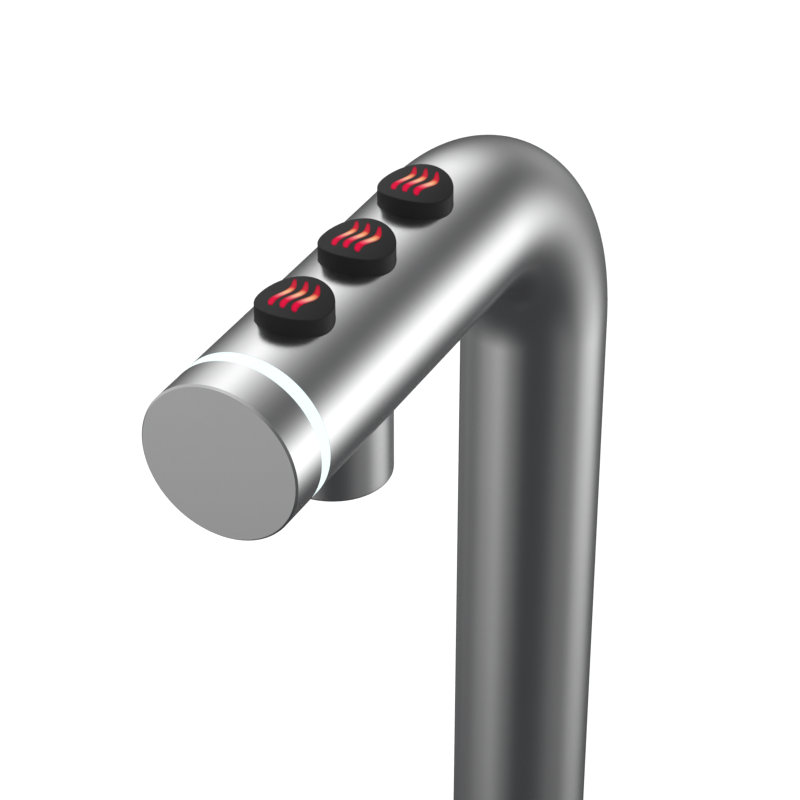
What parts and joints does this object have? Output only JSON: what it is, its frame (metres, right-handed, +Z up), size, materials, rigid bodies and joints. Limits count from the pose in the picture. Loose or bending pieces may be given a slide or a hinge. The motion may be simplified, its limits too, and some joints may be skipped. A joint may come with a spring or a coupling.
{
  "type": "boiling water tap",
  "caption": "Bent steel tube tap with a level arm, plain nozzle below it, round push buttons on top, a light ring by the flat end cap, a turning base and a worktop clamp.",
  "frame": {"origin": "where the riser's axis meets the worktop's top face, at the underside of the base flange", "axes": "+Z up along the riser, the arm points to -Y, +X to the right of a person who faces the tap from its outlet side"},
  "size_m": [0.054, 0.2003, 0.4905],
  "materials": {
    "satin_steel": "satin brushed stainless steel",
    "flange_steel": "satin brushed stainless steel, turned",
    "bright_steel": "plain bright steel",
    "spring_steel": "drawn spring wire",
    "pipe_steel": "drawn thin-walled steel pipe",
    "lit_ring": "frosted clear plastic, lit from inside; emissive",
    "light_strip": "white strip with light sources",
    "flat_lead": "flat flexible lead",
    "button_black": "fine matt black",
    "lit_symbol": "translucent red inlay, lit from below; emissive",
    "silicone": "grey silicone",
    "black_rubber": "black rubber",
    "cable_sheath": "round black sheath",
    "pale_plastic": "natural moulded plastic",
    "dark_plastic": "dark moulded plastic",
    "bearing_plastic": "low-friction plastic",
    "board_green": "coated circuit board",
    "turned_brass": "turned brass"
  },
  "bodies": {
    "base": {"base_flange": "flange_steel", "base_seal": "black_rubber", "base_post": "turned_brass", "centring_collar": "dark_plastic", "glide_ring": "bearing_plastic", "lower_bearing": "bearing_plastic", "upper_bearing": "bearing_plastic", "swivel_orings": "silicone"},
    "spout": {"spout_tube": "satin_steel", "swivel_sleeve": "turned_brass", "swivel_screw": "bright_steel", "end_cap": "satin_steel", "cap_oring": "silicone", "cap_screw": "bright_steel", "light_ring": "lit_ring", "led_strip": "light_strip", "led_lead": "flat_lead", "nozzle_shell": "satin_steel", "nozzle_gasket": "silicone", "outlet_manifold": "turned_brass", "nozzle_screen": "bright_steel", "flow_straightener": "pale_plastic", "nozzle_outlet": "dark_plastic", "water_pipe": "pipe_steel", "pipe_spacers": "black_rubber", "inlet_stub": "turned_brass", "signal_cable": "cable_sheath", "tail_guide": "dark_plastic", "cable_socket": "pale_plastic", "button_carrier": "pale_plastic", "carrier_screws": "bright_steel", "button_board": "board_green", "board_screws": "bright_steel", "board_plug": "pale_plastic", "tact_switches": "dark_plastic", "button_seal_1": "silicone", "button_seal_2": "silicone", "button_seal_3": "silicone", "return_spring_1": "spring_steel", "return_spring_2": "spring_steel", "return_spring_3": "spring_steel"},
    "button_1": {"button_cap_1": "button_black", "button_symbol_1": "lit_symbol", "switch_plunger_1": "pale_plastic"},
    "button_2": {"button_cap_2": "button_black", "button_symbol_2": "lit_symbol", "switch_plunger_2": "pale_plastic"},
    "button_3": {"button_cap_3": "button_black", "button_symbol_3": "lit_symbol", "switch_plunger_3": "pale_plastic"},
    "clamp": {"rubber_washer": "black_rubber", "clamp_washer": "bright_steel", "clamp_nut": "turned_brass"}
  },
  "joints": [
    {"name": "spout_swivel", "type": "hinge", "parent": "base", "child": "spout", "pos_m": [0, 0, 0], "axis": [0, 0, 1], "range_deg": [-60, 60]},
    {"name": "press_1", "type": "slide", "parent": "spout", "child": "button_1", "axis": [0, 0, -1], "range_m": [0, 0.0012], "stiffness_N_per_m": 800, "springref_m": -0.003, "deforming": ["return_spring_1"]},
    {"name": "press_2", "type": "slide", "parent": "spout", "child": "button_2", "axis": [0, 0, -1], "range_m": [0, 0.0012], "stiffness_N_per_m": 800, "springref_m": -0.003, "deforming": ["return_spring_2"]},
    {"name": "press_3", "type": "slide", "parent": "spout", "child": "button_3", "axis": [0, 0, -1], "range_m": [0, 0.0012], "stiffness_N_per_m": 800, "springref_m": -0.003, "deforming": ["return_spring_3"]},
    {"name": "clamp_travel", "type": "slide", "parent": "base", "child": "clamp", "axis": [0, 0, -1], "range_m": [-0.03, 0.014]}
  ]
}
